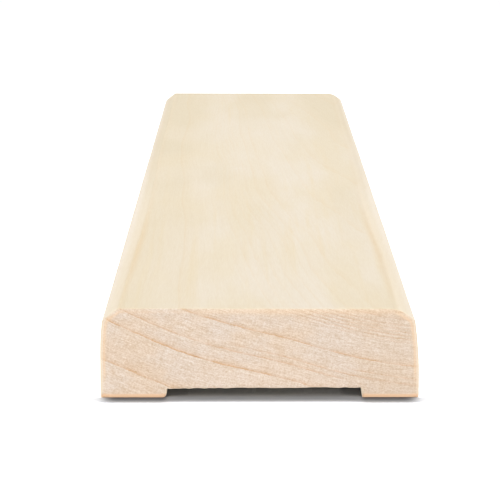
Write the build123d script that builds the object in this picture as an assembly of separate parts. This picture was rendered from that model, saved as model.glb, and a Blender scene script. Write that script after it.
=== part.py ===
from build123d import *
import os

# A length of solid wood door casing, lying on its back. X runs across the width, Y along the
# grain and Z up to the show face. The origin is in the middle of the back, half-way along.
# Every size is in millimetres.

# Overall sizes
strip_length = 304.8  # between the two square-cut ends
back_width = 57.15  # across the back, from side to side
thickness = 16.5  # from the back to the show face

# Left side, from the back upwards
left_side_straight = 7.5  # height up to which the side stays square to the back
left_side_lean = 0.4  # how far the side has bowed inwards by the foot of its chamfer
left_chamfer_run = 3.0  # width of the chamfer beside the show face
left_chamfer_drop = 2.2  # height of the same chamfer
left_chamfer_top_radius = 0.5  # where the chamfer meets the show face
left_chamfer_foot_radius = 1.2  # where the chamfer meets the side

# Right side, which was sanded harder than the left
right_side_straight = 3.0
right_side_lean = 0.85
right_chamfer_run = 3.0
right_chamfer_drop = 2.1
right_chamfer_top_radius = 4.5
right_chamfer_foot_radius = 1.0

# Back: two flat lands with a shallow relief between them, so that the strip sits on an uneven
# wall without rocking
left_land_width = 11.75
right_land_width = 10.2
relief_depth = 1.75
relief_wall_flare = 0.2  # the cutter's sloping sides make the mouth this much wider, each side
relief_root_radius = 0.2
relief_mouth_radius = 0.4
land_arris_radius = 0.4  # outer bottom edges

# The saw-cut ends have their sharp edge taken off all round, and the easing turns the corners
# of the section without a break, so no long arris is sharper than it
end_easing = 0.35
arris_over_easing = 0.03  # least radius of a long arris, beyond the easing


def corner(profile, place):
    """The corner of a flat profile that lies at a place."""
    return profile.vertices().sort_by_distance((*place, 0))[0]


def rounded(profile, place, radius):
    """The profile with the corner at a place rounded."""
    return fillet(corner(profile, place), radius)


def rounded_arris(profile, place, radius):
    """The profile with an outward corner rounded, at least as much as the end easing needs."""
    return rounded(profile, place, max(radius, end_easing + arris_over_easing))


def side(sign, straight, lean, chamfer_run, chamfer_drop):
    """Four corners of one side in profile: at the back, at the end of the straight, and at the
    foot and the top of the chamfer. The sign is -1 for the left and 1 for the right."""
    half = back_width / 2
    leaned = half - lean
    return (
        (sign * half, 0),
        (sign * half, straight),
        (sign * leaned, thickness - chamfer_drop),
        (sign * (leaned - chamfer_run), thickness),
    )


def casing_profile():
    """The cross-section, with x across the width and y up from the back."""
    left_back, left_bend, left_foot, left_top = side(
        -1, left_side_straight, left_side_lean, left_chamfer_run, left_chamfer_drop
    )
    right_back, right_bend, right_foot, right_top = side(
        1, right_side_straight, right_side_lean, right_chamfer_run, right_chamfer_drop
    )
    left_mouth = (left_back[0] + left_land_width, 0)
    right_mouth = (right_back[0] - right_land_width, 0)
    left_root = (left_mouth[0] + relief_wall_flare, relief_depth)
    right_root = (right_mouth[0] - relief_wall_flare, relief_depth)

    outline = [
        Line(left_back, left_bend),
        TangentArc(left_bend, left_foot, tangent=(0, 1)),
        Polyline(left_foot, left_top, right_top, right_foot),
        TangentArc(right_bend, right_foot, tangent=(0, 1)),
        Line(right_bend, right_back),
        Polyline(right_back, right_mouth, right_root, left_root, left_mouth, left_back),
    ]
    profile = make_face(Curve() + outline)

    for root in (left_root, right_root):
        profile = rounded(profile, root, relief_root_radius)
    arrises = (
        (left_top, left_chamfer_top_radius),
        (left_foot, left_chamfer_foot_radius),
        (right_top, right_chamfer_top_radius),
        (right_foot, right_chamfer_foot_radius),
        (left_mouth, relief_mouth_radius),
        (right_mouth, relief_mouth_radius),
        (left_back, land_arris_radius),
        (right_back, land_arris_radius),
    )
    for place, radius in arrises:
        profile = rounded_arris(profile, place, radius)
    return profile


def casing_strip():
    """The whole strip: one profile run along the grain, with both ends eased."""
    strip = extrude(Plane.XZ * casing_profile(), strip_length / 2, both=True)
    ends = strip.faces().sort_by(Axis.Y)
    return chamfer(ends[0].edges() + ends[-1].edges(), end_easing)


os.makedirs("parts", exist_ok=True)
export_step(casing_strip(), "parts/casing_strip.step")
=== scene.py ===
import math

import bpy
import numpy as np
from mathutils import Euler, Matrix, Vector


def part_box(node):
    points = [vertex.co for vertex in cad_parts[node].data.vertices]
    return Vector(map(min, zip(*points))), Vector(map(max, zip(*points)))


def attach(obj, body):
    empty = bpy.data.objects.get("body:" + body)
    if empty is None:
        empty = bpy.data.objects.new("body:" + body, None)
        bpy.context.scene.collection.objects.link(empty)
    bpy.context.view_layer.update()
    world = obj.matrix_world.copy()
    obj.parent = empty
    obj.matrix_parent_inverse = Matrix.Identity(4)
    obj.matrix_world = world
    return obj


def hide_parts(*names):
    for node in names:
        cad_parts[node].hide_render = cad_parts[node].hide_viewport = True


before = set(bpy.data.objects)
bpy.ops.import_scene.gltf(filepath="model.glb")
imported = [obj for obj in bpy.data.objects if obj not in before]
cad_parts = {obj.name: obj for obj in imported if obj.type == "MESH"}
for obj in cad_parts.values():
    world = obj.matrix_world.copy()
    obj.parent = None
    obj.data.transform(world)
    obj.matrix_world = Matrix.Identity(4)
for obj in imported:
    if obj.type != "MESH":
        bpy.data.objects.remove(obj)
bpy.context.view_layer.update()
stripLow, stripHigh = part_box("casing_strip")
mm = 0.001
print("frame loaded, strip box", [round(v / mm, 2) for v in stripHigh - stripLow], "mm")


# Repeatable noise

# sum of three sines of shrinking wavelength with seeded phases, between -1 and 1
def drift(t, wavelength, seed):
    phases = np.random.default_rng(seed).uniform(0, 2 * np.pi, 3)
    waves = [(1.0, 1.0), (0.55, 2.3), (0.3, 5.1)]          # height and frequency
    total = sum(a * np.sin(2 * np.pi * f * t / wavelength + p) for (a, f), p in zip(waves, phases))
    return total / sum(a for a, f in waves)


# value noise on a plane: seeded lattice values blended by a smoothstep in each direction, between -1 and 1
def patchNoise(a, b, cell, seed):
    size = 256                     # the lattice repeats after this many cells
    lattice = np.random.default_rng(seed).uniform(-1, 1, (size, size))
    u, v = a / cell, b / cell
    i, j = np.floor(u).astype(int), np.floor(v).astype(int)
    s, t = u - i, v - j
    s, t = s * s * (3 - 2 * s), t * t * (3 - 2 * t)
    i0, j0, i1, j1 = i % size, j % size, (i + 1) % size, (j + 1) % size
    near = lattice[i0, j0] * (1 - s) + lattice[i1, j0] * s
    far = lattice[i0, j1] * (1 - s) + lattice[i1, j1] * s
    return near * (1 - t) + far * t


# layers of patch noise added up: the sum of height * patchNoise, each layer with its cell and seed
def layeredNoise(a, b, layers, seed=0):
    return sum(height * patchNoise(a, b, cell, seed + own) for height, cell, own in layers)


# 0 below the first value, 1 above the second, and a smooth S between them
def smoothRise(t, low, high):
    s = np.clip((t - low) / (high - low), 0, 1)
    return s * s * (3 - 2 * s)


# each vector divided by its length
def unit(vectors):
    return vectors / np.linalg.norm(vectors, axis=-1, keepdims=True)


# The strip's section. Left and right are as the camera sees them.
section = {
    "leftStraight": 7.5 * mm,      # the side is straight up to here,
    "leftLean": 0.4 * mm,          # and bows in by this much above it
    "leftRun": 3.0 * mm,           # width of the chamfer
    "leftDrop": 2.2 * mm,          # and its depth
    "leftTopRadius": 0.55 * mm,
    "leftFootRadius": 1.2 * mm,
    "rightStraight": 3.0 * mm,
    "rightLean": 0.85 * mm,
    "rightRun": 3.0 * mm,
    "rightDrop": 2.1 * mm,
    "rightTopRadius": 4.5 * mm,
    "rightFootRadius": 1.0 * mm,
    "bowFrom": 1.6 * mm,           # points nearer the sides than this start to follow the bow,
    "bowFull": 1.1 * mm,           # and points nearer than this follow it in full
    "leftLand": 11.75 * mm,
    "rightLand": 10.2 * mm,
    "leftRelief": 1.64 * mm,       # the relief is a hair deeper towards the right
    "rightRelief": 1.86 * mm,
    "reliefFlare": 0.2 * mm,
    "rootRadius": 0.2 * mm,
    "leftMouthRadius": 0.4 * mm,
    "rightMouthRadius": 0.15 * mm,
    "landRadius": 0.18 * mm,
    "rightShy": 0.03 * mm,         # the right land was planed this much short
    "faceFall": 0.08 * mm,         # and the face falls this much towards the right
    "chamferSwell": 0.8 * mm,      # the chamfers are this much wider a third of the way along,
    "swellAt": 100 * mm,           # at this distance from the near end
    "swellLength": 50 * mm,
    "mouthChip": 0.35 * mm,        # extra rounding of the left mouth at the near end,
    "chipLength": 2.5 * mm,        # fading along this length
    "reliefMargin": 0.5 * mm,      # the relief is smooth this near its walls, and torn between them:
    "tearOut": ((0.06 * mm, 0.9 * mm, 12), (0.042 * mm, 4 * mm, 13)),      # height, cell and seed
    "arrisWander": 0.1 * mm,       # how far the sanded arrises stray
    # share of that, or of a radius, wavelength and seed
    "wander": {
        "leftFoot": (1.0, 140 * mm, 1),
        "leftArris": (1.4, 95 * mm, 2),
        "rightArris": (1.4, 120 * mm, 3),
        "rightFoot": (1.0, 110 * mm, 4),
        "rightMouth": (0.4, 60 * mm, 5),
        "leftMouth": (0.4, 70 * mm, 6),
        "leftFootRadius": (0.15, 80 * mm, 7),
        "leftTopRadius": (0.25, 50 * mm, 8),
        "rightTopRadius": (0.12, 90 * mm, 9),
        "rightFootRadius": (0.15, 60 * mm, 10),
    },
}

# The sawn ends
sawnEnds = {
    "easing": 0.34 * mm,           # rounding of their edges,
    "stray": 0.1,                  # this share more or less
    "strayWave": 0.11,             # in waves of this share of the way round
    "seeds": (21, 22),
    "footEasing": 0.05 * mm,       # rounding of the lowest edges, which the sandpaper missed:
    "footFacing": (0.1, 0.9),      # those whose inward normals point up, from this much to this
    "flatRing": 0.05 * mm,         # a ring of flat wood inside the rounding
    "dish": 0.035 * mm,            # depth of the saw cut's hollow,
    "dishRim": 0.6 * mm,           # which is reached at this distance from the rim
    "sawMarks": ((0.015 * mm, 1.1 * mm, 0), (0.008 * mm, 0.45 * mm, 10)),  # height, cell and seed
    "markSeeds": (31, 32),         # added to those seeds at the near end and at the far one
}

# How finely the strip is meshed
meshing = {
    "arcPoints": (7, 7, 5, 11, 7, 7, 5, 4, 4, 5),
    "straightPoints": (25, 5, 128, 3, 25, 22, 6, 76, 6, 24),
    "stations": 200,
    "easingRings": 5,
    "crowding": 0.72,              # how strongly points crowd towards the corners,
    "stationCrowding": 0.6,        # and stations towards the ends
    "farFromArris": 9.0,           # arrisGap everywhere but on the face and chamfers, in millimetres
}


# places between two corners, crowded towards both: a mix of even steps and a cosine
def crowded(count, amount):
    k = np.arange(1, count + 1) / (count + 1)
    return (1 - amount) * k + amount * 0.5 * (1 - np.cos(np.pi * k))


# how far a named corner or radius strays along the strip: share * drift
def strayed(name, y):
    share, wavelength, seed = section["wander"][name]
    return share * drift(y, wavelength, seed)


# the ten corners of the section at each station y, and the radius of each, in order from the left
# land's outer corner up the left side, over the face, down the right side and back along the relief.
# The arrises stray by drift, the chamfers swell by e ** (-(((fromNear - swellAt) / swellLength) ** 2)),
# and the left mouth is chipped by e ** (-fromNear / chipLength).
def sectionCorners(y):
    s = section
    half = (stripHigh.x - stripLow.x) / 2
    top = stripHigh.z
    fromNear = y - stripLow.y
    stray = s["arrisWander"]
    swell = s["chamferSwell"] * np.exp(-(((fromNear - s["swellAt"]) / s["swellLength"]) ** 2))
    leftFoot = -half + s["leftLean"]
    rightFoot = half - s["rightLean"]
    leftArris = leftFoot + s["leftRun"] + swell
    rightArris = rightFoot - s["rightRun"] - swell
    leftMouth = -half + s["leftLand"]
    rightMouth = half - s["rightLand"]
    places = [
        (-half, 0),
        (leftFoot, top - s["leftDrop"] + stray * strayed("leftFoot", y)),
        (leftArris + stray * strayed("leftArris", y), top),
        (rightArris + stray * strayed("rightArris", y), top - s["faceFall"]),
        (rightFoot, top - s["rightDrop"] + stray * strayed("rightFoot", y)),
        (half, s["rightShy"]),
        (rightMouth + stray * strayed("rightMouth", y), s["rightShy"]),
        (rightMouth - s["reliefFlare"], s["rightRelief"]),
        (leftMouth + s["reliefFlare"], s["leftRelief"]),
        (leftMouth + stray * strayed("leftMouth", y), 0),
    ]
    radii = [
        s["landRadius"],
        s["leftFootRadius"] * (1 + strayed("leftFootRadius", y)),
        s["leftTopRadius"] * (1 + strayed("leftTopRadius", y)),
        s["rightTopRadius"] * (1 + strayed("rightTopRadius", y)),
        s["rightFootRadius"] * (1 + strayed("rightFootRadius", y)),
        s["landRadius"],
        s["rightMouthRadius"],
        s["rootRadius"],
        s["rootRadius"],
        s["leftMouthRadius"] + s["mouthChip"] * np.exp(-fromNear / s["chipLength"]),
    ]
    everywhere = np.zeros_like(y)
    corners = np.stack([np.stack([x + everywhere, z + everywhere], axis=1) for x, z in places], axis=1)
    return corners, np.stack([radius + everywhere for radius in radii], axis=1)


# a closed outline with every corner an arc: centre = corner + bisector * radius / sin(half angle),
# and the arc's points are the two touching radii blended by sines of the turn
def roundedOutline(corners, radii):
    toPrevious = unit(np.roll(corners, 1, axis=1) - corners)
    toNext = unit(np.roll(corners, -1, axis=1) - corners)
    halfAngle = 0.5 * np.arccos(np.clip((toPrevious * toNext).sum(-1), -1, 1))
    reach = (radii / np.tan(halfAngle))[..., None]
    centre = corners + unit(toPrevious + toNext) * (radii / np.sin(halfAngle))[..., None]
    first, last = corners + toPrevious * reach, corners + toNext * reach
    turn = (np.pi - 2 * halfAngle)[..., None]
    pieces = []
    for i, (arcCount, straightCount) in enumerate(zip(meshing["arcPoints"], meshing["straightPoints"])):
        t = np.linspace(0, 1, arcCount)[None, :, None]
        bend, c = turn[:, i, None], centre[:, i, None]
        spokes = np.sin((1 - t) * bend) * (first[:, i, None] - c) + np.sin(t * bend) * (last[:, i, None] - c)
        pieces.append(c + spokes / np.sin(bend))
        t = crowded(straightCount, meshing["crowding"])[None, :, None]
        following = first[:, (i + 1) % corners.shape[1], None]
        pieces.append(last[:, i, None] * (1 - t) + following * t)
    return np.concatenate(pieces, axis=1)


# the outline with both sides bowed: straight up from the back, then leaning in as the square of the
# height, so that x moves by lean * (z / foot - ((z - straight) / (foot - straight)) ** 2). The relief
# is roughened by noise.
def bowed(outline, y):
    s = section
    half, top = (stripHigh.x - stripLow.x) / 2, stripHigh.z
    x, z = outline[..., 0], outline[..., 1]
    pastLeft = x > -half + s["leftLand"] + s["reliefMargin"]
    pastRight = x < half - s["rightLand"] - s["reliefMargin"]
    rough = layeredNoise(x, y[:, None] + 0 * x, s["tearOut"])
    z = z + np.where(pastLeft & pastRight & (z < top / 2), rough, 0)
    onSide = smoothRise(np.abs(x), half - s["bowFrom"], half - s["bowFull"])
    shift = np.zeros_like(x)
    for sign, side in ((-1, "left"), (1, "right")):
        straight, lean = s[side + "Straight"], s[side + "Lean"]
        foot = top - s[side + "Drop"]
        bow = lean * (z / foot - (np.clip(z - straight, 0, None) / (foot - straight)) ** 2)
        shift += np.where((np.sign(x) == sign) & (z < foot), sign * bow * onSide, 0)
    return np.stack([x + shift, z], axis=-1)


# inward normals of closed outlines: the tangent by central differences, turned a quarter
def inwardNormals(outline):
    tangent = unit(np.roll(outline, -1, axis=-2) - np.roll(outline, 1, axis=-2))
    return np.stack([tangent[..., 1], -tangent[..., 0]], axis=-1)


# the rings of one sawn end, from the full outline to the rim of the sawn face: at angle a the
# outline is drawn in by easing * (1 - cos a) and lies easing * (1 - sin a) from the end. Edges that
# face downwards are eased less. A last ring lies flat just inside the rim.
def easedEnd(outline, endY, inward, seed):
    e = sawnEnds
    around = np.linspace(0, 1, outline.shape[0], endpoint=False)
    normals = inwardNormals(outline)
    easing = e["easing"] * (1 + e["stray"] * drift(around, e["strayWave"], seed))
    easing = easing + (e["footEasing"] - easing) * smoothRise(normals[:, 1], *e["footFacing"])
    angles = np.linspace(0, np.pi / 2, meshing["easingRings"] + 1)[1:, None]
    inset, turned = easing * (1 - np.cos(angles)), np.sin(angles) + 0 * around
    inset = np.concatenate([inset, inset[-1:] + e["flatRing"]])
    turned = np.concatenate([turned, turned[-1:]])
    drawn = inset[..., None] * normals + outline
    y = endY + inward * e["easing"] * (1 - turned)
    return np.stack([drawn[..., 0], y, drawn[..., 1]], axis=-1), turned


# a grid stretched over four edges: (1 - v) * bottom + v * top + (1 - u) * left + u * right, less the
# same blend of the four corners, where u and v are the mean lengths run along opposite edges
def stretchedGrid(bottom, top, left, right):
    def run(edge):
        steps = np.concatenate([[0], np.cumsum(np.linalg.norm(np.diff(edge, axis=0), axis=1))])
        return steps / steps[-1]

    u = ((run(bottom) + run(top)) / 2)[None, :, None]
    v = ((run(left) + run(right)) / 2)[:, None, None]
    edges = (1 - v) * bottom[None] + v * top[None] + (1 - u) * left[:, None] + u * right[:, None]
    corners = (1 - v) * ((1 - u) * bottom[0] + u * bottom[-1]) + v * ((1 - u) * top[0] + u * top[-1])
    return edges - corners


# the quads of a grid of vertex numbers: each number, the next one, the one past that, and back
def gridQuads(ids):
    return np.stack([ids[:-1, :-1], ids[:-1, 1:], ids[1:, 1:], ids[1:, :-1]], axis=-1).reshape(-1, 4)


# the inside of one sawn face: a stretched grid between its rim's four edges, set in by
# (dish + saw marks) * smoothRise of the distance to the rim. Gives back that distance too.
def sawnFace(rim, edges, endY, inward, seed):
    e = sawnEnds
    grid = stretchedGrid(*(rim[edges[side]] for side in ("bottom", "top", "left", "right")))
    inner = grid[1:-1, 1:-1].reshape(-1, 2)
    rimGap = np.linalg.norm(inner[:, None] - rim[None], axis=-1).min(axis=1)
    hollow = e["dish"] + layeredNoise(inner[:, 0], inner[:, 1], e["sawMarks"], seed)
    hollow = hollow * smoothRise(rimGap, 0, e["dishRim"])
    return np.stack([inner[:, 0], endY + inward * hollow, inner[:, 1]], axis=-1), rimGap, grid.shape[:2]


# points and quads as a mesh, with a value at each point for each attribute
def makeMesh(name, places, quads, attributes):
    mesh = bpy.data.meshes.new(name)
    mesh.vertices.add(len(places))
    mesh.vertices.foreach_set("co", places.ravel())
    mesh.loops.add(quads.size)
    mesh.loops.foreach_set("vertex_index", quads.ravel())
    mesh.polygons.add(len(quads))
    mesh.polygons.foreach_set("loop_start", np.arange(0, quads.size, 4))
    mesh.polygons.foreach_set("use_smooth", np.ones(len(quads), bool))
    mesh.update(calc_edges=True)
    mesh.validate()
    for attribute, values in attributes.items():
        mesh.attributes.new(attribute, "FLOAT", "POINT").data.foreach_set("value", values)
    return mesh


# The strip: rings of the section along the grain, closed at both ends by a sawn face
def buildStrip():
    easing = sawnEnds["easing"]
    nearY, farY = stripLow.y, stripHigh.y
    t = np.concatenate([[0], crowded(meshing["stations"] - 2, meshing["stationCrowding"]), [1]])
    stations = nearY + easing + (farY - nearY - 2 * easing) * t
    outlines = bowed(roundedOutline(*sectionCorners(stations)), stations)
    count = outlines.shape[1]
    body = np.stack([outlines[..., 0], stations[:, None] + 0 * outlines[..., 0], outlines[..., 1]], axis=-1)
    nearRings, nearTurn = easedEnd(outlines[0], nearY, 1, sawnEnds["seeds"][0])
    farRings, farTurn = easedEnd(outlines[-1], farY, -1, sawnEnds["seeds"][1])
    rings = np.concatenate([nearRings[::-1], body, farRings])
    endness = np.concatenate([nearTurn[::-1], np.zeros(body.shape[:2]), farTurn])
    ringIds = np.arange(rings.shape[0] * count).reshape(rings.shape[0], count)

    # the middle of each corner's arc. The sawn face's four corners are those of the back's and the
    # chamfers' outer arcs.
    starts = np.cumsum([0] + [a + b for a, b in zip(meshing["arcPoints"], meshing["straightPoints"])])
    middles = [start + points // 2 for start, points in zip(starts, meshing["arcPoints"])]
    leftBack, leftFoot, leftArris, rightArris, rightFoot, rightBack = middles[:6]
    edges = {
        "left": np.arange(leftBack, leftFoot + 1),
        "top": np.arange(leftFoot, rightFoot + 1),
        "right": np.arange(rightFoot, rightBack + 1)[::-1],
        "bottom": (np.arange(rightBack, leftBack + count + 1) % count)[::-1],
    }

    places = [rings.reshape(-1, 3)]
    ends = [endness.reshape(-1)]
    gaps = [np.minimum(rings[..., 1] - nearY, farY - rings[..., 1]).clip(0).reshape(-1)]
    quads = [gridQuads(np.concatenate([ringIds, ringIds[:, :1]], axis=1))]
    used = rings.shape[0] * count
    for ring, endY, inward, seed in zip((0, -1), (nearY, farY), (1, -1), sawnEnds["markSeeds"]):
        inner, rimGap, shape = sawnFace(rings[ring][:, [0, 2]], edges, endY, inward, seed)
        places.append(inner)
        ends.append(np.ones(len(inner)))
        gaps.append(rimGap)
        ids = np.empty(shape, int)
        ids[1:-1, 1:-1] = used + np.arange(len(inner)).reshape(shape[0] - 2, -1)
        used += len(inner)
        rim = ringIds[ring]
        ids[0], ids[-1] = rim[edges["bottom"]], rim[edges["top"]]
        ids[:, 0], ids[:, -1] = rim[edges["left"]], rim[edges["right"]]
        quads.append(gridQuads(ids)[:, ::inward])
    places, quads = np.concatenate(places), np.concatenate(quads)

    backness, arrisGap = np.zeros(len(places)), np.full(len(places), meshing["farFromArris"])
    backness[ringIds[:, edges["bottom"]].ravel()] = 1
    acrossTop = rings[:, edges["top"], 0]
    fromLeft, toRight = acrossTop - rings[:, [leftArris], 0], rings[:, [rightArris], 0] - acrossTop
    arrisGap[ringIds[:, edges["top"]].ravel()] = np.minimum(fromLeft, toRight).ravel() / mm
    attributes = {
        "endness": np.concatenate(ends),           # how far the surface has turned to face the end
        "rimGap": np.concatenate(gaps) / mm,       # from the end's rim, over the end or along the strip
        "backness": backness,
        "arrisGap": arrisGap,      # from the chamfers' top edges, less than nothing on the chamfers
    }
    mesh = makeMesh("casing_strip_wood", places, quads, attributes)
    piece = bpy.data.objects.new("casing_strip_wood", mesh)
    bpy.context.scene.collection.objects.link(piece)
    print("strip built,", len(places), "points,", len(quads) * 2, "triangles")
    return piece


# A node tree under construction. Each call adds a node or a few and hands back the last one's output.
class NodeGraph:
    def __init__(self, owner):
        owner.use_nodes = True
        self.tree = owner.node_tree
        self.tree.nodes.clear()

    # the node itself, with its settings made and its inputs linked or filled in
    def add(self, kind, inputs=None, **settings):
        node = self.tree.nodes.new("ShaderNode" + kind)
        for name, value in settings.items():
            setattr(node, name, value)
        for name, value in (inputs or {}).items():
            if isinstance(value, bpy.types.NodeSocket):
                self.tree.links.new(value, node.inputs[name])
            else:
                node.inputs[name].default_value = value
        return node

    def calc(self, operation, *values, clamp=False):
        return self.add("Math", dict(enumerate(values)), operation=operation, use_clamp=clamp).outputs[0]

    # first * second * third and so on
    def times(self, product, *others):
        for other in others:
            product = self.calc("MULTIPLY", product, other)
        return product

    def scaled(self, vector, x, y, z):
        return self.add("VectorMath", {0: vector, 1: (x, y, z)}, operation="MULTIPLY").outputs[0]

    def noise(self, vector, detail, roughness):
        inputs = {"Vector": vector, "Scale": 1.0, "Detail": detail, "Roughness": roughness}
        return self.add("TexNoise", inputs).outputs[0]

    # a smooth S from toLow at low to toHigh at high
    def spread(self, value, low, high, toLow=0.0, toHigh=1.0):
        inputs = {"Value": value, "From Min": low, "From Max": high, "To Min": toLow, "To Max": toHigh}
        return self.add("MapRange", inputs, interpolation_type="SMOOTHSTEP").outputs[0]

    # e ** (-(((value - centre) / width) ** 2))
    def hill(self, value, centre, width):
        off = self.calc("DIVIDE", self.calc("SUBTRACT", value, centre), width)
        return self.calc("EXPONENT", self.times(off, off, -1.0))

    def mixed(self, share, first, second, blend="MIX"):
        node = self.add("Mix", {0: share, 6: first, 7: second}, data_type="RGBA", blend_type=blend)
        return node.outputs[2]

    def attribute(self, name):
        return self.add("Attribute", attribute_name=name).outputs["Fac"]

    # a curve through grey stops
    def greyRamp(self, value, stops):
        ramp = self.add("ValToRGB", {"Fac": value})
        elements = ramp.color_ramp.elements
        for position, grey in stops[1:-1]:
            elements.new(position)
        for element, (position, grey) in zip(elements, stops):
            element.position, element.color = position, (grey, grey, grey, 1)
        return ramp.outputs[0]

    # 1 for what the camera sees, straight, mirrored or through glass, and 0 for light on its way
    def seenByCamera(self):
        rays = self.add("LightPath").outputs
        looking = self.calc("MAXIMUM", rays["Is Camera Ray"], rays["Is Glossy Ray"])
        return self.calc("MAXIMUM", looking, rays["Is Transmission Ray"])


# The tree that the strip was cut from. Lengths are in millimetres. Four numbers in a row: as a place goes
# from the first to the second, the value goes smoothly from the third to the fourth.
woodGrain = {
    "pithAcross": 45.0,            # centre of the tree, to the right of the strip's middle
    "pithAbove": 159.4,            # and above its back
    "ripple": 0.87,                # height of a ripple in the rings under the middle of the face
    "rippleAt": (4.0, 11.6),       # its place across the strip and its width
    "taper": (-22.0, 16.0, -0.008, -0.045),        # ring radius gained per millimetre along, left to right
    "waviness": (4.0, 60.0, 0.7, 3.0),             # from the near end on
    "raggedness": 0.3,
    "aroundAt": 160.0,             # the way round the rings is measured at this radius
    "ringEnd": (-0.1, 0.05),       # how abruptly a ring ends outwards
    # radius, line strength, line width, strength and depth of the warm band inside the line, and
    # where across the strip the line starts or stops showing
    "rings": [
        (168.9, 0.75, 0.3, 0.34, 1.3, None, None),
        (162.1, 0.95, 0.3, 0.10, 1.6, None, None),
        (159.3, 0.65, 0.2, 0.10, 1.2, None, 14),
        (158.2, 0.55, 0.2, 0.08, 0.8, -4, None),
        (157.1, 0.6, 0.18, 0.06, 0.8, 17, None),
        (154.8, 0.7, 0.24, 0.16, 1.2, None, None),
        (146.4, 0.5, 0.18, 0.2, 0.9, None, None),
        (145.2, 0.6, 0.18, 0.2, 0.9, None, None),
    ],
    "ringFade": 3.0,               # such a line fades over this much to either side
    "comb": (0.62, 0.75, 0.13, 0.0, 1.0),          # a set of fine rings: spacing, line and band as above
    "combInner": (146.8, 147.0),   # they start between these radii
    "combOuter": (151.0, 150.2),   # and end between these
    "young": (3.3, 0.5, 0.2, 0.25, 0.9),           # the rings inside all those
    "youngOuter": (144.4, 143.0),
    "broken": (0.32, 0.6, 0.45, 1.15),             # how strong the lines are as noise rises
}

# Noise in the wood: how fast it changes per millimetre, its detail and its roughness
woodNoise = {
    # across, along and up the strip
    "slowRings": ((0.05, 0.014, 0.05), 1.0, 0.5),
    "quickRings": ((0.8, 0.03, 0.8), 2.0, 0.5),
    "broken": ((0.3, 0.03, 0.3), 2.0, 0.5),
    "patches": ((0.11, 0.02, 0.16), 3.0, 0.55),
    "clouds": ((0.07, 0.018, 0.07), 3.0, 0.5),
    "shade": ((0.09, 0.022, 0.09), 0.6, 0.5),
    # round the rings, along the grain and out from the pith
    "fineRings": ((0.3, 0.012, 4.6), 2.0, 0.6),
    "rays": ((3.6, 0.3, 0.4), 2.0, 0.6),
    "vessels": ((3.6, 0.2, 5.5), 1.0, 0.7),
    "streaks": ((0.35, 0.006, 0.35), 3.0, 0.6),
}

woodColours = {
    "endGrain": (0.757, 0.634, 0.53, 1),
    "endWarm": (0.765, 0.612, 0.478, 1),
    "ringLine": (0.66, 0.41, 0.225, 1),
    "endShade": (0.725, 0.585, 0.46, 1),
    "endLight": (0.80, 0.662, 0.545, 1),
    "edgeGlow": (0.87, 0.575, 0.36, 1),
    # painted glow of light through the thin rim of the ends
    "rimGlow": (0.93, 0.68, 0.45, 1),
    "topWarm": (0.865, 0.68, 0.50, 1),
    # painted highlight for the rounded edges of the ends
    "edgeHighlight": (0.95, 0.80, 0.62, 1),
    "longGrain": (0.832, 0.722, 0.542, 1),
    "longPale": (0.855, 0.76, 0.622, 1),
    "longWarm": (0.83, 0.695, 0.475, 1),
    "longShade": (0.79, 0.68, 0.495, 1),
    "longLine": (0.80, 0.61, 0.36, 1),
    # painted light on the chamfers, and a painted highlight on their outer edge
    "chamfer": (0.905, 0.79, 0.615, 1),
    "chamferEdgeHighlight": (0.945, 0.85, 0.72, 1),
}


# noise over the strip or over its rings, as woodNoise says
def woodTexture(graph, space, name):
    scale, detail, roughness = woodNoise[name]
    return graph.noise(graph.scaled(space, *scale), detail, roughness)


# one ring: dark on its line, fading inwards by line * e ** (-depth inside / width) + band * e ** (-depth
# inside / depth), and ending abruptly outwards
def ringLine(graph, inside, line, width, band, depth):
    gap = graph.calc("ABSOLUTE", inside)
    crisp = graph.times(graph.calc("POWER", math.exp(-1 / width), gap), line)
    soft = graph.times(graph.calc("POWER", math.exp(-1 / depth), gap), band)
    return graph.times(graph.calc("ADD", crisp, soft), graph.spread(inside, *woodGrain["ringEnd"]))


# rings at even spacing: the depth inside the next one out is spacing - the remainder of age / spacing
def evenRings(graph, age, spacing, line, width, band, depth):
    inside = graph.calc("SUBTRACT", spacing, graph.calc("FLOORED_MODULO", age, spacing))
    return ringLine(graph, inside, line, width, band, depth)


# Growth rings round the pith: age = distance to the pith + a ripple + taper * length + noise. Gives back
# the age, the way round the rings, and how dark the late wood is.
def growthRings(graph, place, across, fromNear, up):
    g = woodGrain
    dx = graph.calc("SUBTRACT", across, g["pithAcross"])
    dz = graph.calc("SUBTRACT", up, g["pithAbove"])
    distance = graph.calc("SQRT", graph.calc("MULTIPLY_ADD", dz, dz, graph.times(dx, dx)))
    age = graph.calc("MULTIPLY_ADD", graph.hill(across, *g["rippleAt"]), g["ripple"], distance)
    age = graph.calc("MULTIPLY_ADD", fromNear, graph.spread(across, *g["taper"]), age)
    slow = graph.calc("SUBTRACT", woodTexture(graph, place, "slowRings"), 0.5)
    age = graph.calc("MULTIPLY_ADD", slow, graph.spread(fromNear, *g["waviness"]), age)
    quick = graph.calc("SUBTRACT", woodTexture(graph, place, "quickRings"), 0.5)
    age = graph.calc("MULTIPLY_ADD", quick, g["raggedness"], age)
    around = graph.times(graph.calc("ARCTAN2", dx, dz), g["aroundAt"])

    late = 0.0
    fade = g["ringFade"]
    for radius, line, width, band, depth, start, stop in g["rings"]:
        ring = ringLine(graph, graph.calc("SUBTRACT", radius, age), line, width, band, depth)
        shown = 1.0
        if start is not None:
            shown = graph.spread(across, start - fade, start + fade)
        elif stop is not None:
            shown = graph.spread(across, stop + fade, stop - fade)
        late = graph.calc("MULTIPLY_ADD", ring, shown, late)
    comb = graph.times(graph.spread(age, *g["combInner"]), evenRings(graph, age, *g["comb"]))
    late = graph.calc("MULTIPLY_ADD", comb, graph.spread(age, *g["combOuter"]), late)
    young = evenRings(graph, age, *g["young"])
    late = graph.calc("MULTIPLY_ADD", young, graph.spread(age, *g["youngOuter"]), late)
    broken = graph.spread(woodTexture(graph, place, "broken"), *g["broken"])
    return age, around, graph.calc("MULTIPLY", late, broken, clamp=True)


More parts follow.
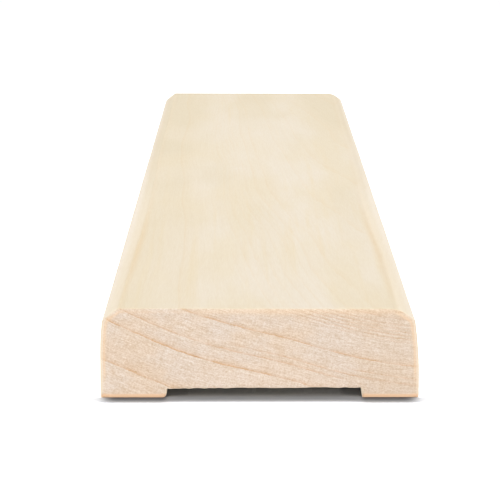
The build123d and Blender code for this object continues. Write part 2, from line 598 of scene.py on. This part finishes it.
# How the tones are laid over the wood. Four numbers in a row: as what the tone follows goes from the first
# to the second, its share goes smoothly from the third to the fourth. Two: from none to all. Lengths are
# in millimetres: across the strip, beside its middle, up from its back and along from its near end.
endTones = {
    "warm": (0.38, 0.62),                          # as the patches rise
    "shadeAcross": (12.0, 24.0, 0.0, 0.6),
    "lightBeside": (18.0, 8.0, 0.0, 0.7),          # lighter low in the middle
    "lightUp": (9.0, 4.0),
    "topWarmAcross": (-14.0, -6.0, 0.0, 0.6),      # warmer just under the face
    "topWarmUp": (14.6, 16.3),
    "speckle": {"vessels": 1.02, "rays": 0.3, "fineRings": 0.75},
    "rimAt": (0.33, 0.28),                         # a painted glow of light through the thin rim, drawn as a warm line inside it: its distance and width
    "rimToSide": (5.0, 3.0, 0.2, 0.5),             # strongest near the sides
    "rimUp": (2.2, 5.0, 0.2, 1.0),                 # and away from the back
    "glow": 0.9,                                   # a glow along the lowest edges
    "glowUp": (1.0, 0.4),
    "glowRimGap": (0.8, 0.3),
}

longTones = {
    "pale": (0.34, 0.62),                          # as the clouds rise
    "warm": (0.5, 0.8, 0.0, 0.6),                  # as the streaks rise
    "warmAcross": (-6.0, -24.0, 0.0, 0.4),
    "shade": (0.42, 0.66),                         # as the shade's noise rises
    "shadeAlong": (40.0, 150.0, 0.12, 0.6),
    "farShadeAlong": (120.0, 300.0, 0.0, 0.35),
    "farSidesAlong": (190.0, 280.0, 0.0, 0.45),    # darker towards the far corners
    "farSidesBeside": (8.0, 22.0),
    "rightShadeAcross": (12.0, 24.0, 0.0, 0.14),
    "leftShadeAcross": (-10.0, -24.0, 0.0, 0.28),
    "middleAt": (200.0, 42.0),                     # paler in the middle here: place along and width
    "middleBeside": (18.0, 5.0, 0.0, 0.75),
    "middlePale": 0.6,
    "ringLine": 0.25,
    "speckle": {"rays": 0.1, "fineRings": 0.08, "vessels": 0.08},
}

# The chamfers' tones follow the distance from their top edges, which is less than nothing on the chamfer
chamferTones = {
    # painted light: the chamfers paler than the face
    "pale": (0.35, -0.5),
    "paintedLightAlong": (70.0, 170.0, 1.0, 0.25),         # painted light: paler near the camera and a painted highlight along the outer edge
    "outerEdge": (-1.3, -3.3, 0.0, 0.85),          # and along the outer edge
    "lineAt": (0.35, 0.8),                         # a warm line inside the chamfer: its place and width
    "lineAlong": (55.0, 42.0),                     # strongest here: place along and width
    "lineStrongest": 0.42,                         # and this much stronger there
    "lineLeast": 0.08,
}

woodFinish = {
    "onEnd": (0.6, 0.97),                          # end grain shows as the surface turns to face the end
    "edgeTurn": (0.0, 0.3),                        # a painted highlight on the rounded edge between end and long grain: it starts at the rim, is missing at the foot and fades under the face
    "edgeRimGap": (0.2, -0.1),                     # it starts at the rim,
    "edgeFoot": (0.2, 1.0),                        # is missing at the foot
    "edgeUp": (13.0, 16.0, 0.9, 0.2),              # and fades under the face
    "speckleShares": (0.45, 0.68, 1.0),            # how much of the speckle reaches red, green and blue
    "knifeSpacing": 1.6,                           # planer marks on the back
    "knifeHeight": 0.25,
    "rayHeight": 0.8,
    "bumpStrength": 0.2,
    "bumpDepth": 0.03 * mm,
    "roughness": (0.3, 0.7, 0.72, 0.6),            # as the vessels rise
    "specular": 0.2,
}


# a colour made paler and browner by noise: times 1 + the sum of strength * (noise - 0.5), most in the
# blue and least in the red
def speckled(graph, colour, wood, strengths):
    total = 0.0
    for name, strength in strengths.items():
        total = graph.calc("MULTIPLY_ADD", graph.calc("SUBTRACT", wood[name], 0.5), strength, total)
    factors = [graph.calc("MULTIPLY_ADD", total, share, 1.0) for share in woodFinish["speckleShares"]]
    factor = graph.add("CombineColor", dict(enumerate(factors))).outputs[0]
    return graph.mixed(1.0, colour, factor, "MULTIPLY")


# end grain: patches, shade, light and warmth laid over each other, then the rings, speckle and a painted
# glow inside the rim
def endGrain(graph, wood):
    c, t = woodColours, endTones
    across, beside, up, rimGap = wood["across"], wood["beside"], wood["up"], wood["rimGap"]
    patches = woodTexture(graph, wood["place"], "patches")
    colour = graph.mixed(graph.spread(patches, *t["warm"]), c["endGrain"], c["endWarm"])
    colour = graph.mixed(graph.spread(across, *t["shadeAcross"]), colour, c["endShade"])
    light = graph.times(graph.spread(up, *t["lightUp"]), graph.spread(beside, *t["lightBeside"]))
    colour = graph.mixed(light, colour, c["endLight"])
    warm = graph.times(graph.spread(up, *t["topWarmUp"]), graph.spread(across, *t["topWarmAcross"]))
    colour = graph.mixed(warm, colour, c["topWarm"])
    colour = graph.mixed(wood["late"], colour, c["ringLine"])
    colour = speckled(graph, colour, wood, t["speckle"])
    toSide = graph.calc("SUBTRACT", stripHigh.x / mm, beside)
    shown = graph.times(graph.spread(toSide, *t["rimToSide"]), graph.spread(up, *t["rimUp"]))
    rim = graph.times(graph.hill(rimGap, *t["rimAt"]), shown)
    # painted glow: a warm line of light through the thin wood just inside the rim
    colour = graph.mixed(rim, colour, c["rimGlow"])
    low = graph.times(graph.spread(up, *t["glowUp"]), graph.spread(rimGap, *t["glowRimGap"]), t["glow"])
    return graph.mixed(low, colour, c["edgeGlow"])


# long grain, on the face, chamfers, sides and back: clouds and streaks, then shade that grows with the
# distance, is held back in the middle two thirds of the way along and gathers at the sides
def longGrain(graph, wood):
    c, t = woodColours, longTones
    across, beside, fromNear = wood["across"], wood["beside"], wood["fromNear"]
    clouds = woodTexture(graph, wood["place"], "clouds")
    colour = graph.mixed(graph.spread(clouds, *t["pale"]), c["longGrain"], c["longPale"])
    streaks = graph.spread(woodTexture(graph, wood["rings"], "streaks"), *t["warm"])
    streaks = graph.calc("ADD", streaks, graph.spread(across, *t["warmAcross"]))
    colour = graph.mixed(streaks, colour, c["longWarm"])
    shade = graph.spread(woodTexture(graph, wood["place"], "shade"), *t["shade"])
    shade = graph.times(shade, graph.spread(fromNear, *t["shadeAlong"]))
    shade = graph.calc("ADD", shade, graph.spread(fromNear, *t["farShadeAlong"]))
    middle = graph.times(graph.hill(fromNear, *t["middleAt"]), graph.spread(beside, *t["middleBeside"]))
    shade = graph.times(shade, graph.calc("SUBTRACT", 1.0, middle))
    farSides = graph.spread(fromNear, *t["farSidesAlong"])
    farSides = graph.times(farSides, graph.spread(beside, *t["farSidesBeside"]))
    shade = graph.calc("ADD", shade, farSides)
    shade = graph.calc("ADD", shade, graph.spread(across, *t["rightShadeAcross"]))
    shade = graph.calc("ADD", shade, graph.spread(across, *t["leftShadeAcross"]), clamp=True)
    colour = graph.mixed(shade, colour, c["longShade"])
    colour = graph.mixed(graph.times(middle, t["middlePale"]), colour, c["longPale"])
    return graph.mixed(graph.times(wood["late"], t["ringLine"]), colour, c["longLine"])


# long grain with its chamfers: painted light that makes them paler, a painted highlight at their outer edge,
# and a warm line inside them
def chamfered(graph, colour, wood):
    c, t = woodColours, chamferTones
    arrisGap, fromNear = wood["arrisGap"], wood["fromNear"]
    pale = graph.times(graph.spread(arrisGap, *t["pale"]), graph.spread(fromNear, *t["paintedLightAlong"]))
    # painted light on the chamfers, fading away from the near end
    colour = graph.mixed(pale, colour, c["chamfer"])
    # painted highlight along the chamfers' outer edge
    colour = graph.mixed(graph.spread(arrisGap, *t["outerEdge"]), colour, c["chamferEdgeHighlight"])
    strength = graph.hill(fromNear, *t["lineAlong"])
    strength = graph.calc("MULTIPLY_ADD", strength, t["lineStrongest"], t["lineLeast"])
    return graph.mixed(graph.times(graph.hill(arrisGap, *t["lineAt"]), strength), colour, c["longLine"])


# Solid wood: one body of rings, rays and fibres, cut by the strip's faces. The bump is vessels + rays *
# rayHeight + planer marks on the back, sin(2 * pi * along / knifeSpacing) * knifeHeight.
def makeWood():
    f = woodFinish
    material = bpy.data.materials.new("casing_wood")
    graph = NodeGraph(material)
    place = graph.scaled(graph.add("TexCoord").outputs["Object"], 1 / mm, 1 / mm, 1 / mm)
    across, along, up = graph.add("SeparateXYZ", {0: place}).outputs
    fromNear = graph.calc("SUBTRACT", along, stripLow.y / mm)
    age, around, late = growthRings(graph, place, across, fromNear, up)
    rings = graph.add("CombineXYZ", {0: around, 1: along, 2: age}).outputs[0]
    wood = {
        "place": place,
        "rings": rings,
        "across": across,
        "beside": graph.calc("ABSOLUTE", across),
        "up": up,
        "fromNear": fromNear,
        "late": late,
        "rimGap": graph.attribute("rimGap"),
        "arrisGap": graph.attribute("arrisGap"),
        "fineRings": woodTexture(graph, rings, "fineRings"),
        "rays": woodTexture(graph, rings, "rays"),
        "vessels": woodTexture(graph, rings, "vessels"),
    }
    long = chamfered(graph, longGrain(graph, wood), wood)
    long = speckled(graph, long, wood, longTones["speckle"])
    endness = graph.attribute("endness")
    colour = graph.mixed(graph.spread(endness, *f["onEnd"]), long, endGrain(graph, wood))
    turned = graph.times(
        graph.spread(endness, *f["edgeTurn"]),
        graph.spread(wood["rimGap"], *f["edgeRimGap"]),
        graph.spread(up, *f["edgeFoot"]),
        graph.spread(up, *f["edgeUp"]),
    )
    # a painted highlight on the rounded edges where the long grain turns to the end grain
    colour = graph.mixed(turned, colour, woodColours["edgeHighlight"])

    knife = graph.calc("SINE", graph.times(along, 2 * math.pi / f["knifeSpacing"]))
    knife = graph.times(knife, graph.times(graph.attribute("backness"), f["knifeHeight"]))
    height = graph.calc("ADD", wood["vessels"], graph.times(wood["rays"], f["rayHeight"]))
    height = graph.calc("ADD", height, knife)
    bump = {"Height": height, "Strength": f["bumpStrength"], "Distance": f["bumpDepth"]}
    surface = {
        "Base Color": colour,
        "Roughness": graph.spread(wood["vessels"], *f["roughness"]),
        "Normal": graph.add("Bump", bump).outputs[0],
        "Specular IOR Level": f["specular"],
    }
    graph.add("OutputMaterial", {"Surface": graph.add("BsdfPrincipled", surface).outputs[0]})
    print("wood made,", len(graph.tree.nodes), "nodes")
    return material


# Floor, lamps and sky. Lengths are in metres.
studio = {
    "floorRadius": 4.0,
    "floorPoints": 96,
    "floorGap": 0.02 * mm,         # between the floor and the strip
    "floorColour": (0.86, 0.86, 0.86, 1),
    "floorShown": 1.5,             # how much paler the camera sees the floor, so that it is white
    "white": (1, 1, 1, 1),
    "cooling": (0.975, 1.0, 1.045, 1),         # against the warm light that the wood throws on it
    "reliefCooling": (0.96, 0.99, 1.05, 1),
    "shadowReach": 4 * mm,         # how far the dark line at the strip's foot reaches
    "shadowSamples": 32,
    # how much of the nearby sky a spot sees, and how light it then is: in front of the lands
    "landShadow": [
        (0.6, 0.10),
        (0.72, 0.13),
        (0.82, 0.2),
        (0.9, 0.31),
        (0.96, 0.42),
        (0.99, 0.58),
        (1.0, 1.0),
    ],
    # and under and in front of the relief
    "reliefShadow": [
        (0.19, 0.15),
        (0.21, 0.24),
        (0.3, 0.335),
        (0.45, 0.32),
        (0.6, 0.265),
        (0.7, 0.235),
        (0.8, 0.26),
        (0.88, 0.35),
        (0.95, 0.5),
        (0.99, 0.62),
        (1.0, 1.0),
    ],
    "reliefBlend": 0.6 * mm,       # one turns into the other this far to either side of a wall
    "sideShadow": (0.4, 1.0, 0.3, 1.0),        # beside and behind: sky from and to, light from and to
    "shadowEdge": 0.72,            # how light the shadow gets where it runs out at the strip's corners,
    "runOut": (-3.5 * mm, 1.4 * mm),           # between here and there, past the strip's side,
    "runOutLength": 30 * mm,       # and this far along it
    "sideBlend": 0.1 * mm,
    "frontBlend": 0.3 * mm,
    "sideSlope": 0.07,             # beside the strip the shadow widens by this share of the way along,
    "slopeBlend": 0.5 * mm,        # and ends within this
    "whiteFrom": 0.35,             # the floor turns to plain white between these distances
    "whiteTo": 0.8,
    "skyStrength": 0.36,
    "lampsFace": 0.5,              # the lamps face this share of the way from the middle to the near end
    # name: place, width, depth, watts
    "lamps": {
        "overhead": ((0.0, 0.0, 1.2), 1.3, 1.3, 7.15),
        "leftBox": ((-1.2, -0.1, 0.55), 0.9, 0.7, 3.8),
        "rightBox": ((1.2, -0.1, 0.55), 0.9, 0.7, 3.8),
        "frontFill": ((0.0, -1.5, 0.3), 1.2, 0.5, 9.0),
        "backFill": ((0.0, 1.5, 0.5), 1.0, 0.5, 2.5),
    },
}


# an area lamp turned to face the near half of the strip: its tilt and turn are the angles of the way there
def makeLamp(name, place, width, depth, watts):
    lamp = bpy.data.lights.new(name, "AREA")
    lamp.shape = "RECTANGLE"
    lamp.size, lamp.size_y, lamp.energy = width, depth, watts
    holder = bpy.data.objects.new(name, lamp)
    holder.location = place
    x, y, z = np.array([0.0, stripLow.y * studio["lampsFace"], 0.0]) - np.array(place)
    holder.rotation_euler = Euler((math.atan2(math.hypot(x, y), -z), 0.0, math.atan2(-x, y)))
    bpy.context.scene.collection.objects.link(holder)


# how light the floor is near the strip: in front a ramp for the lands and one for the relief, run out
# towards the near corners, and beside and behind the strip a soft line that widens along it
def floorShadow(graph, across, along, inRelief):
    s = studio
    beside = graph.calc("ABSOLUTE", across)
    behind = graph.calc("SUBTRACT", along, stripLow.y)
    sky = graph.add("AmbientOcclusion", {"Distance": s["shadowReach"]}, samples=s["shadowSamples"])
    clear = sky.outputs["AO"]
    lands, relief = graph.greyRamp(clear, s["landShadow"]), graph.greyRamp(clear, s["reliefShadow"])
    shadow = graph.mixed(inRelief, lands, relief)
    runOut = graph.spread(beside, *(stripHigh.x + edge for edge in s["runOut"]))
    nearby = graph.spread(along, stripLow.y + s["runOutLength"], stripLow.y)
    runOut = graph.times(runOut, runOut, nearby)
    shadow = graph.mixed(runOut, shadow, graph.calc("MAXIMUM", shadow, s["shadowEdge"]))

    side, front = s["sideBlend"], s["frontBlend"]
    pastFront = graph.spread(behind, -front, front)
    pastSide = graph.spread(beside, stripHigh.x - side, stripHigh.x + side)
    pastFarEnd = graph.spread(along, stripHigh.y - side, stripHigh.y + side)
    past = graph.times(graph.calc("MAXIMUM", pastSide, pastFarEnd), pastFront)
    shadow = graph.mixed(past, shadow, graph.spread(clear, *s["sideShadow"]))
    outside = graph.calc("SUBTRACT", beside, stripHigh.x)
    outside = graph.calc("MULTIPLY_ADD", behind, -s["sideSlope"], outside)
    outside = graph.times(graph.spread(outside, -s["slopeBlend"], 0.0), pastFront)
    return graph.mixed(outside, shadow, s["white"])


# a round sheet just under the strip: a fan of points at even angles round the middle
def makeFloor():
    s = studio
    angles = np.linspace(0, 2 * np.pi, s["floorPoints"], endpoint=False)
    rim = s["floorRadius"] * np.stack([np.cos(angles), np.sin(angles), 0 * angles], axis=1)
    rim[:, 2] = stripLow.z - s["floorGap"]
    mesh = bpy.data.meshes.new("studio_floor")
    mesh.from_pydata(rim.tolist(), [], [list(range(len(rim)))])
    floor = bpy.data.objects.new("studio_floor", mesh)
    bpy.context.scene.collection.objects.link(floor)

    material = bpy.data.materials.new("studio_floor")
    graph = NodeGraph(material)
    place = graph.add("TexCoord").outputs["Object"]
    across, along = graph.add("SeparateXYZ", {0: place}).outputs[:2]
    left, right = stripLow.x + section["leftLand"], stripHigh.x - section["rightLand"]
    blend = s["reliefBlend"]
    pastLeft = graph.spread(across, left - blend, left + blend)
    inRelief = graph.times(pastLeft, graph.spread(across, right + blend, right - blend))
    shown = graph.times(floorShadow(graph, across, along, inRelief), s["floorShown"])
    cooling = graph.mixed(inRelief, s["cooling"], s["reliefCooling"])
    seen = graph.add("BsdfDiffuse", {"Color": graph.mixed(1.0, shown, cooling, "MULTIPLY")})
    plain = graph.add("BsdfDiffuse", {"Color": s["floorColour"]})
    white = graph.add("Emission", {"Color": s["white"], "Strength": 1.0})
    away = graph.add("VectorMath", {0: place}, operation="LENGTH").outputs["Value"]
    far = graph.spread(away, s["whiteFrom"], s["whiteTo"])
    seen = graph.add("MixShader", {0: far, 1: seen.outputs[0], 2: white.outputs[0]})
    surface = graph.add("MixShader", {0: graph.seenByCamera(), 1: plain.outputs[0], 2: seen.outputs[0]})
    graph.add("OutputMaterial", {"Surface": surface.outputs[0]})
    mesh.materials.append(material)
    return floor


# a white sky that the camera sees at full strength and the strip gets skyStrength of
def makeSky():
    world = bpy.data.worlds.new("studio_sky")
    graph = NodeGraph(world)
    strength = graph.spread(graph.seenByCamera(), 0.0, 1.0, studio["skyStrength"], 1.0)
    background = graph.add("Background", {"Color": studio["white"], "Strength": strength})
    graph.add("OutputWorld", {"Surface": background.outputs[0]})
    bpy.context.scene.world = world


# The camera, low in front of the near end. Lengths are in metres, but for the lens and its sensor.
cameraPlace = {
    "lens": 152.35,                # in millimetres,
    "sensor": 36.0,                # on a sensor this wide
    "across": -2.219 * mm,
    "fromNearEnd": 367.54 * mm,
    "height": 101.38 * mm,
    "tilt": math.radians(11.435),  # downwards
    "turn": 0.00127,               # to the right
    "sees": (0.01, 20.0),          # from this distance to that
}


# the camera at its place, level but for its tilt and turn
def makeCamera():
    c = cameraPlace
    camera = bpy.data.cameras.new("camera")
    camera.lens, camera.sensor_width = c["lens"], c["sensor"]
    camera.clip_start, camera.clip_end = c["sees"]
    holder = bpy.data.objects.new("camera", camera)
    holder.location = (c["across"], stripLow.y - c["fromNearEnd"], c["height"])
    holder.rotation_euler = Euler((math.pi / 2 - c["tilt"], 0.0, -c["turn"]))
    bpy.context.scene.collection.objects.link(holder)
    bpy.context.scene.camera = holder


strip = buildStrip()
strip.data.materials.append(makeWood())
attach(strip, "root")
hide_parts("casing_strip")

makeFloor()
for name, (place, width, depth, watts) in studio["lamps"].items():
    makeLamp(name, place, width, depth, watts)
makeSky()
makeCamera()
bpy.context.scene.view_settings.view_transform = "Standard"
print("studio set")
